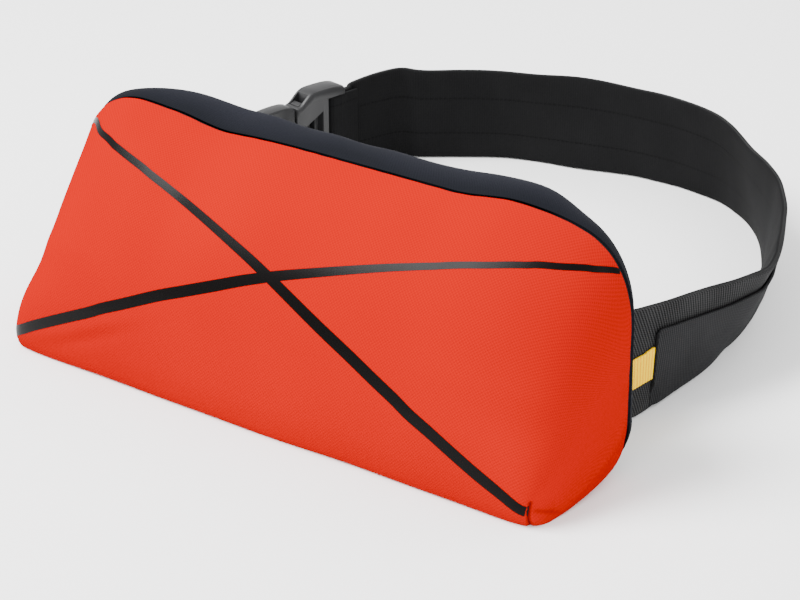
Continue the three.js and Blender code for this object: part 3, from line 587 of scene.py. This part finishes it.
def panel_relief(p, rim_distance, run):
    """How far the cloth stands out, in millimetres, and how much painted shade lies in its dart and
    along its fold line.
    """
    x, y, z = p[..., 0], p[..., 1], p[..., 2]
    uneven = 0.55 + 0.45 * np.sin(run / 23.0 + 1.0) * np.sin(run / 7.7)
    pucker = 0.12 * uneven * np.sin(run / 1.8 + 0.8 * np.sin(run / 17.0)) * np.exp(-rim_distance / 4.0)
    inside = 1 - np.exp(-rim_distance / 14.0)
    drape = 0.5 * np.sin(x / 41.0 + z / 29.0 + 0.6) * np.sin(z / 23.0 - x / 67.0 + 1.1)
    drape += 0.28 * np.sin(x / 17.0 - z / 13.0 + 2.0) * np.sin(z / 19.0 + x / 31.0)
    dent = 0
    for rise, at, wide, height, slope, tall in SOFT_DENTS:
        from_line = (z - height - slope * (x - at)) / tall
        dent = dent + rise * np.exp(-((x - at) / wide) ** 2 - from_line ** 2)
    from_foot = np.abs(x - FOOT_SHIFT)
    away = from_foot - DART_AT - DART_LEAN * z
    low = ease((DART_TOP - z) / 1.2) * ease((-30 - y) / 6)
    dart = -DART_DEPTH * np.exp(-(away / DART_HALF) ** 2) * low
    tuck = -TUCK_DEPTH * ease(away / 0.6) * np.exp(-np.maximum(0, away) / 5.0) * low
    fold_line = FOLD_HEIGHT - FOLD_SLOPE * (y + 43)
    above = np.exp(-(np.maximum(0, z - fold_line) / FOLD_SPREAD) ** 2)
    below = np.clip(z / np.maximum(1.0, fold_line), 0, 1) ** 1.4
    facet = ease((from_foot - FOLD_AT) / 2.5) * ease((fold_line - 1.5) / 3.0)
    facet = facet * ease((-12 - y) / 10)
    fold = -FOLD_DEPTH * np.where(z > fold_line, above, below) * facet
    # painted shade in the dart's groove and along the fold line, later darkening the cloth's colour
    crease_shade = 0.8 * np.exp(-(away / 0.6) ** 2) * low
    fading = np.exp(-np.maximum(0, from_foot - FOLD_FADES_AT) / 4)
    crease_shade += 0.3 * np.exp(-((z - fold_line + 0.4) / 0.8) ** 2) * facet * fading
    return pucker + (drape + dent) * inside + dart + tuck + fold, crease_shade


def front_cloth(material):
    last = len(FRONT_PROFILE) - 1
    grid = np.array([panel_row(r * last / PANEL_ROWS) for r in range(PANEL_ROWS + 1)])
    across = lengths(np.swapaxes(grid, 0, 1)).T
    across -= across[:, [across.shape[1] // 2]]
    down = lengths(grid)
    from_side = np.abs(across[:, [0]]) - np.abs(across)
    from_end = np.minimum(down, down[-1] - down)
    run = np.where(from_side < from_end, down, across)
    relief, crease_shade = panel_relief(grid, np.minimum(from_side, from_end), run)
    relief = relief * ease((np.hypot(from_side, from_end) - 1.0) / 8.0)
    moved = grid + grid_normals(grid) * relief[..., None]
    moved[..., 2] = np.maximum(0.02, moved[..., 2])
    moved[..., 1] = np.minimum(SEAM_Y, moved[..., 1])
    uvs = np.stack([across, down], 2).reshape(-1, 2)
    faces = grid_faces(PANEL_ROWS + 1, grid.shape[1])
    obj = new_piece("pouch_front", moved.reshape(-1, 3), faces, uvs)
    # the painted shade of the dart and the fold goes onto the cloth as a point attribute
    shade = obj.data.attributes.new("crease_shade", "FLOAT", "POINT")
    shade.data.foreach_set("value", crease_shade.astype(np.float32).ravel())
    apply_modifier(obj, "SOLIDIFY", thickness=FRONT_WALL * MM, offset=-1, use_even_offset=False)
    smooth(obj, 60)
    dress(obj, material, "orange_cloth", "front_panel")
    return moved


def film_stripes(material, grid):
    """Two film strips that lie on the front cloth."""
    rows, columns = grid.shape[:2]
    vertices = [Vector(p) for p in grid.reshape(-1, 3)]
    tree = BVHTree.FromPolygons(vertices, grid_faces(rows, columns))

    def at(across, down):
        c, r = column_of(across), down * (rows - 1)
        c0, r0 = min(columns - 2, int(c)), min(rows - 2, int(r))
        low = mix(grid[r0, c0], grid[r0, c0 + 1], c - c0)
        high = mix(grid[r0 + 1, c0], grid[r0 + 1, c0 + 1], c - c0)
        return mix(low, high, r - r0)

    points, faces, uvs = [], [], []
    steps, spans = 190, 8
    for which, path in enumerate(STRIPE_PATHS):
        rows_along = [row_of(path, (len(path) - 1) * s / steps) for s in range(steps + 1)]
        line = np.array([[*at(row[0], row[1]), row[2]] for row in rows_along])
        run = lengths(line[:, :3])
        even = np.linspace(0, run[-1], steps + 1)
        line = np.stack([np.interp(even, run, line[:, k]) for k in range(4)], 1)
        line, width = line[:, :3], line[:, 3] * STRIPE_WIDTH
        start = len(points)
        for s in range(steps + 1):
            along = Vector(line[min(steps, s + 1)] - line[max(0, s - 1)]).normalized()
            centre, normal, _, _ = tree.find_nearest(Vector(line[s]))
            side = normal.cross(along).normalized()
            for k in range(spans + 1):
                off = (k / spans - 0.5) * width[s]
                spot, lift, _, _ = tree.find_nearest(centre + side * off)
                points.append(tuple(spot + lift * (STRIPE_LIFT + STRIPE_OVERLAP * which)))
                uvs.append((run[-1] * s / steps, off))
        faces += [tuple(start + i for i in face) for face in grid_faces(steps + 1, spans + 1)]
    obj = new_piece("film_stripes", points, faces, uvs)
    apply_modifier(obj, "SOLIDIFY", thickness=STRIPE_FILM * MM, offset=1, use_even_offset=False)
    smooth(obj, 50)
    return dress(obj, material, "stripe_film", "cross_stripes")


# Binding, gusset and back

def seam_binding(material):
    ring = outline(SEAM)
    centre_y = SEAM_Y + FIT_GAP + BINDING_WIDTH / 2
    count, sides = len(ring), 10
    rings, uvs = [], []
    run = lengths(np.concatenate([ring, ring[:1]]))[:-1]
    for k in range(sides):
        angle = 2 * math.pi * k / sides
        edge = inset(ring, PIPING_INSET - PIPING_TALL * math.cos(angle))
        y = np.full(count, centre_y + PIPING_DEEP * math.sin(angle))
        rings.append(np.stack([edge[:, 0], y, edge[:, 1]], 1))
        uvs.append(np.stack([run, np.full(count, k * 0.7)], 1))
    faces = grid_faces(sides, count, wrap=True)
    for c in range(count):
        d = (c + 1) % count
        faces.append(((sides - 1) * count + c, (sides - 1) * count + d, d, c))
    obj = new_piece("seam_piping", np.concatenate(rings), faces, np.concatenate(uvs))
    outward(obj)
    smooth(obj, 60)
    return dress(obj, material, "black_trim", "seam_binding")


def outward(obj):
    bm = bmesh.new()
    bm.from_mesh(obj.data)
    bmesh.ops.recalc_face_normals(bm, faces=bm.faces)
    bm.to_mesh(obj.data)
    bm.free()


def gusset_band(material):
    """The grey band round the pouch, a soft padded skin rolled in at the back."""
    start = SEAM_Y + BINDING_WIDTH + 2 * FIT_GAP
    front, back = outline(SEAM), outline(BACK)
    last = len(GUSSET_RINGS) - 1
    steps = 30
    rings = []
    run = lengths(np.concatenate([front, front[:1]]))[:-1]
    for s in range(steps + 1):
        depth, share, crown, roll = row_of(GUSSET_RINGS, last * s / steps)
        ring = mix(front, back, share)
        x, z = ring[:, 0], ring[:, 1]
        swell = 0.3 * np.sin(run / 9.0 + 1.4 * np.sin(run / 31.0)) + 0.4 * np.sin(run / 37.0 + 0.9)
        for at, width, rise in GUSSET_SWELLS:
            swell = swell + rise * np.exp(-((x - at) / width) ** 2)
        swell = swell * ease((z - TOP_SWELLS_FROM) / 10)
        end_swell = END_SWELL * np.exp(-((z - END_SWELL_AT) / 9) ** 2)
        swell = swell + end_swell * ease((x - END_SWELL_FROM) / 20)
        inside = 0 < s < steps * 0.86
        full = math.sin(math.pi * min(1, s / steps * 1.15)) ** 0.7 if inside else 0
        ring = inset(ring, roll * GUSSET_ROLL - swell * full)
        x, z = ring[:, 0], ring[:, 1]
        z = z + crown * GUSSET_CROWN * ease(2 * z / POUCH_HEIGHT - 1)
        y = np.full(len(x), mix(start, BACK_Y, depth))
        rings.append(np.stack([x, y, np.maximum(0.05, z)], 1))
    rings = np.array(rings)
    uvs = np.stack(np.broadcast_arrays(run[None, :], lengths(rings)), 2).reshape(-1, 2)
    faces = grid_faces(steps + 1, len(front), wrap=True, flip=True)
    obj = new_piece("side_gusset", rings.reshape(-1, 3), faces, uvs)
    apply_modifier(obj, "SOLIDIFY", thickness=(GUSSET_WALL - 0.4) * MM, offset=-1,
                   use_even_offset=False)
    smooth(obj, 60)
    dress(obj, material, "slate_cloth", "gusset")
    perimeter, depth = run[-1] * MM, lengths(rings)[-1].mean() * MM


def back_pad(material):
    """The flat back, a thin pad of spacer mesh with a lip behind the gusset's rolled edge."""
    edge = inset(outline(BACK), GUSSET_ROLL + GUSSET_WALL + FIT_GAP)
    middle = edge.mean(0)
    rings = []
    for amount, sink in PAD_RIM:
        ring = inset(edge, amount)
        rings.append(np.stack([ring[:, 0], np.full(len(ring), BACK_Y - sink), ring[:, 1]], 1))
    flat = inset(edge, PAD_RIM[-1][0])
    for share in np.linspace(0.15, 1.0, 9)[:-1]:
        ring = mix(flat, middle, share)
        rings.append(np.stack([ring[:, 0], np.full(len(ring), BACK_Y), ring[:, 1]], 1))
    rings = np.array(rings)
    count = len(edge)
    points = np.concatenate([rings.reshape(-1, 3), [[middle[0], BACK_Y, middle[1]]]])
    faces = grid_faces(len(rings), count, wrap=True)
    hub = len(points) - 1
    inmost = hub - count
    faces += [(inmost + c, inmost + (c + 1) % count, hub) for c in range(count)]
    faces = [face[::-1] for face in faces]
    obj = new_piece("back_pad", points, faces, points[:, [0, 2]])
    apply_modifier(obj, "SOLIDIFY", thickness=PAD_WALL * MM, offset=-1, use_even_offset=False)
    smooth(obj, 60)
    dress(obj, material, "slate_cloth", "back_panel")


# Belt

def to_buckle(course, end):
    rows = []
    tail = end["tail"]
    for along in (tail + math.copysign(1, tail), (tail + end["end"]) / 2, end["end"]):
        rows.append((MOUTH_SIDE + along * math.cos(BUCKLE_TURN) / LOOP_HALF,
                     MOUTH_BACK + along * math.sin(BUCKLE_TURN) / LOOP_REACH, 0))
    return np.array(list(course) + rows, dtype=float)


BAND_ROWS = to_buckle(BAND_COURSE, BAND_END)
STRAP_ROWS = to_buckle(STRAP_COURSE, STRAP_END)


def course_frame(rows, place):
    """Foot point, direction up the webbing and direction out through it."""
    def spot(at):
        row = row_of(rows, at)
        return np.array([row[0] * LOOP_HALF, BACK_Y + row[1] * LOOP_REACH, 0.0]), math.radians(row[2])
    last = len(rows) - 1
    foot, lean = spot(place)
    along = spot(min(last, place + 0.02))[0] - spot(max(0, place - 0.02))[0]
    along = along / np.linalg.norm(along)
    out = np.array([along[1], -along[0], 0.0])
    up = out * math.sin(lean) + np.array([0, 0, math.cos(lean)])
    through = out * math.cos(lean) - np.array([0, 0, math.sin(lean)])
    return foot, up, through


def webbing_strip(name, rows, places, low, high, inner, outer, lift, levels, relief=None):
    """A closed strip of webbing along a course, with softly rounded edges."""
    edge = min(0.9, (outer - inner) * 0.45)
    sections, uvs = [], []
    feet = np.array([course_frame(rows, place)[0] for place in places])
    run = lengths(feet)
    for s, place in enumerate(places):
        foot, up, through = course_frame(rows, place)
        step = s / (len(places) - 1)
        bottom, top = low(step, run[s]), high(step, run[s])
        heights = np.concatenate([
            [bottom, bottom + edge * 0.3], np.linspace(bottom + edge, top - edge, levels + 1),
            [top - edge * 0.3, top]])
        pinch = np.concatenate([[0.55, 0.2], np.zeros(levels + 1), [0.2, 0.55]]) * edge
        section = []
        for side, off in ((-1, inner), (1, outer)):
            order = range(len(heights)) if side < 0 else reversed(range(len(heights)))
            for k in order:
                shift = relief(run[s], heights[k], side) if relief else 0.0
                point = foot + up * heights[k] + through * (off - side * pinch[k] + shift)
                point[2] += lift
                section.append(point)
                uvs.append((run[s], heights[k] + (0 if side < 0 else OUTSIDE_SHIFT)))
        sections.append(section)
    sections = np.array(sections)
    count = sections.shape[1]
    faces = grid_faces(len(places), count, wrap=True)
    faces.append(tuple(reversed(range(count))))
    faces.append(tuple(range((len(places) - 1) * count, len(places) * count)))
    points = sections.reshape(-1, 3)
    points[:, 2] = np.maximum(points[:, 2], 0.02)
    obj = new_piece(name, points, faces, uvs)
    outward(obj)
    smooth(obj, 55)
    return obj, run[-1]


def even_places(low, high, per_row):
    return np.linspace(low, high, int(round((high - low) * per_row)) + 1)


def band_relief(run, height, _side):
    """Small ripples of the webbing, stronger towards its edges."""
    edge = 0.35 + 0.65 * abs(height / BAND_HEIGHT - 0.5) * 2
    small = math.sin(run / 7.3 + 2.1 * math.sin(run / 29.0)) * math.sin(height / 16.0 + run / 53.0)
    ripple = BAND_RIPPLE * small
    broad = BAND_WAVE * math.sin(run / 23.0 + height / 31.0) * math.sin(run / 61.0 + 0.7)
    return (ripple + broad) * edge


def band_foot(run):
    """How far the band's lower edge rises at a place along it."""
    return sum(rise * math.exp(-((run - at) / width) ** 2) for at, width, rise in FOOT_RISES)


def waist_band(material):
    def top(step, run):
        ruffle = 0.35 * math.sin(run / 11.0) * math.sin(run / 37.0 + 1.0)
        drop = BAND_END_DROP * float(ease((step - BAND_END_FROM) / (1 - BAND_END_FROM)))
        return BAND_HEIGHT - drop + ruffle

    half = BAND_THICKNESS / 2
    band, length = webbing_strip(
        "belt_webbing", BAND_ROWS, even_places(0, len(BAND_ROWS) - 1, 9),
        lambda _, run: band_foot(run), top, -half, half, BAND_LIFT, 12, band_relief)
    dress(band, material, "black_webbing", "waist_band")


def band_cover(material):
    def foot(_, run):
        return COVER_LIFT + band_foot(run + COVER_START)

    def top(_, run):
        into = max(0.0, 1 - run / COVER_CORNER)
        ruffle = 0.3 * math.sin(run / 9.0 + 0.4) * math.sin(run / 43.0)
        return COVER_HEIGHT - COVER_CORNER * (1 - math.sqrt(max(0.0, 1 - into * into))) + ruffle

    def relief(run, height, side):
        corner = max(0.0, 1 - run / 5.0) * float(1 - ease((height - 9.0) / 3.0))
        thin = corner * COVER_THINNING[side > 0]
        return 0.8 * band_relief(run + 3.0, height, side) * min(1.0, run / 12.0) + 0.1 - thin

    first, last = COVER_ROWS
    places = np.concatenate([first + np.linspace(0, 1, 9)[:-1] ** 2 * 0.4,
                             even_places(first + 0.4, last, 9)])
    inner = BAND_THICKNESS / 2 + COVER_GAP
    cover, length = webbing_strip(
        "belt_cover", BAND_ROWS, places, foot, top, inner, inner + COVER_THICKNESS, BAND_LIFT, 10,
        relief)
    dress(cover, material, "cover_webbing", "band_cover")


def pull_tape(material):
    def foot(step, _):
        return mix(*TAPE_HEIGHTS, float(ease(step)))

    def top(step, run):
        return foot(step, run) + TAPE_WIDTH + TAPE_TIP * float(ease((step - 0.8) / 0.2))

    def ribs(run, _, side):
        return TAPE_RIB * math.sin(2 * math.pi * run / TAPE_RIB_PITCH) * (side > 0)

    inner = BAND_THICKNESS / 2 + FIT_GAP
    tape, length = webbing_strip(
        "pull_ribbon", BAND_ROWS, even_places(*TAPE_ROWS, 40), foot, top, inner,
        inner + TAPE_THICKNESS, BAND_LIFT, 6, ribs)
    dress(tape, material, "yellow_tape", "pull_tape")


def left_strap(material):
    low, high = MOUTH_HEIGHT - STRAP_WIDTH / 2, MOUTH_HEIGHT + STRAP_WIDTH / 2
    half = STRAP_THICKNESS / 2
    strap, length = webbing_strip(
        "left_webbing", STRAP_ROWS, even_places(0, len(STRAP_ROWS) - 1, 9),
        lambda *_: low, lambda *_: high, -half, half, 0.0, 8)
    dress(strap, material, "black_webbing", "left_strap")


# Buckle

def from_buckle(points):
    """Points given along, out through and up the buckle, in the part's frame."""
    along, through, up = points[..., 0], points[..., 1], points[..., 2]
    c, s = math.cos(BUCKLE_TURN), math.sin(BUCKLE_TURN)
    x = MOUTH_SIDE * LOOP_HALF + along * c + through * s
    y = BACK_Y + MOUTH_BACK * LOOP_REACH + along * s - through * c
    return np.stack([x, y, up + MOUTH_HEIGHT], -1)


def webbing_loop(name, end, held, material, node):
    """Webbing that goes round a buckle bar and back beside itself."""
    bar, tail = end["bar"], end["tail"]
    heading = math.copysign(1, bar - tail)
    gap = LOOP_GAP + STRAP_THICKNESS / 2
    spread = held / 2 + FIT_GAP + STRAP_THICKNESS / 2
    centre = bar + heading * (FIT_GAP - LOOP_GAP * 0.4)
    near = [(tail, -spread), (mix(tail, centre, 0.45), -spread - 0.05),
            (centre - heading * 5, -gap)]
    reach = heading * (LOOP_GAP * 0.6 + 0.8)
    bend = [(centre + math.cos(a) * reach, math.sin(a) * gap)
            for a in np.linspace(-math.pi / 2, math.pi / 2, 15)]
    path = np.array(near + bend + [(a, -t) for a, t in reversed(near)])
    run = lengths(path)
    even = np.linspace(0, run[-1], 60)
    path = np.stack([np.interp(even, run, path[:, k]) for k in range(2)], 1)
    ups = np.linspace(-STRAP_WIDTH / 2, STRAP_WIDTH / 2, 11)
    grid = np.array([[(a, t, up) for up in ups] for a, t in path])
    uvs = np.array([[(r, up) for up in ups] for r in even]).reshape(-1, 2)
    obj = new_piece(name, from_buckle(grid).reshape(-1, 3), grid_faces(len(path), len(ups)), uvs)
    apply_modifier(obj, "SOLIDIFY", thickness=(STRAP_THICKNESS - 0.3) * MM, offset=0,
                   use_even_offset=True)
    apply_modifier(obj, "BEVEL", width=0.35 * MM, segments=2, limit_method="ANGLE",
                   angle_limit=math.radians(60))
    outward(obj)
    smooth(obj, 50)
    dress(obj, material, "black_webbing", node)


def moulded_copy(name, node, material):
    """A buckle half from its CAD solid, its edges rounded as moulded plastic is."""
    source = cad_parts[node]
    bm = bmesh.new()
    bm.from_mesh(source.data)
    bm.transform(source.matrix_world)
    bmesh.ops.remove_doubles(bm, verts=bm.verts, dist=0.00002)
    bmesh.ops.dissolve_limit(bm, angle_limit=math.radians(1.5), verts=bm.verts, edges=bm.edges)
    mesh = bpy.data.meshes.new(name)
    bm.to_mesh(mesh)
    bm.free()
    obj = bpy.data.objects.new(name, mesh)
    bpy.context.scene.collection.objects.link(obj)
    apply_modifier(obj, "BEVEL", width=0.45 * MM, segments=2, limit_method="ANGLE",
                   angle_limit=math.radians(38), use_clamp_overlap=True)
    smooth(obj, 45)
    return dress(obj, material, "buckle_plastic", node)


# Stage, lights and camera

def studio():
    bpy.ops.mesh.primitive_plane_add(size=8, location=(0, 0, 0))
    floor = bpy.context.object
    floor.name = "floor"
    paper = Finish("floor_paper", 0.9, specular=0.1)
    paper.shader.inputs["Base Color"].default_value = (0.96, 0.96, 0.96, 1)
    floor.data.materials.append(paper.material)

    world = bpy.data.worlds.new("studio")
    bpy.context.scene.world = world
    world.use_nodes = True
    world.node_tree.nodes["Background"].inputs[0].default_value = (1, 1, 1, 1)
    world.node_tree.nodes["Background"].inputs[1].default_value = 1.5

    def area(name, location, target, size, power):
        light = bpy.data.lights.new(name, "AREA")
        light.shape = "RECTANGLE"
        light.size, light.size_y = size
        light.energy = power
        lamp = bpy.data.objects.new(name, light)
        bpy.context.scene.collection.objects.link(lamp)
        lamp.location = location
        aim = Vector(target) - Vector(location)
        lamp.rotation_euler = aim.to_track_quat("-Z", "Y").to_euler()

    area("key", (-0.68, -0.48, 1.33), (0, 0, 0.05), (0.8, 0.8), 66)
    area("fill", (1.3, -1.0, 0.7), (0, 0, 0.05), (0.9, 0.9), 15)
    area("rim", (0.3, 1.3, 1.1), (0, 0.1, 0.05), (1.2, 0.8), 12)

    camera_data = bpy.data.cameras.new("camera")
    camera_data.lens = 108.85
    camera_data.sensor_width = 36
    camera = bpy.data.objects.new("camera", camera_data)
    bpy.context.scene.collection.objects.link(camera)
    camera.location = (0.60131, -0.75903, 0.50755)
    target = Vector((0.06892, -0.02906, 0.07893))
    camera.rotation_euler = (target - camera.location).to_track_quat("-Z", "Y").to_euler()
    bpy.context.scene.camera = camera


# Making

# each webbing's third colour is its inside's, kept darker than the outside's as painted shade
black_webbing = webbing("black_webbing", (0.001, 0.001, 0.0011), (0.042, 0.042, 0.043),
                        (0.0085, 0.0085, 0.009), 1.35)
cover_webbing = webbing("cover_webbing", (0.006, 0.006, 0.0065), (0.027, 0.027, 0.0285),
                        (0.010, 0.010, 0.011), 1.2)
cloth_grid = front_cloth(orange_cloth())
film_stripes(stripe_film(), cloth_grid)
seam_binding(black_trim())
gusset_band(slate_cloth())
back_pad(spacer_mesh())
waist_band(black_webbing)
band_cover(cover_webbing)
pull_tape(yellow_tape())
left_strap(black_webbing)
webbing_loop("band_end_loop", BAND_END, BAND_THICKNESS, black_webbing, "band_loop")
webbing_loop("strap_end_loop", STRAP_END, STRAP_THICKNESS, black_webbing, "strap_loop")
plastic = buckle_plastic()
moulded_copy("socket_body", "buckle_socket", plastic)
moulded_copy("plug_body", "buckle_plug", plastic)
studio()
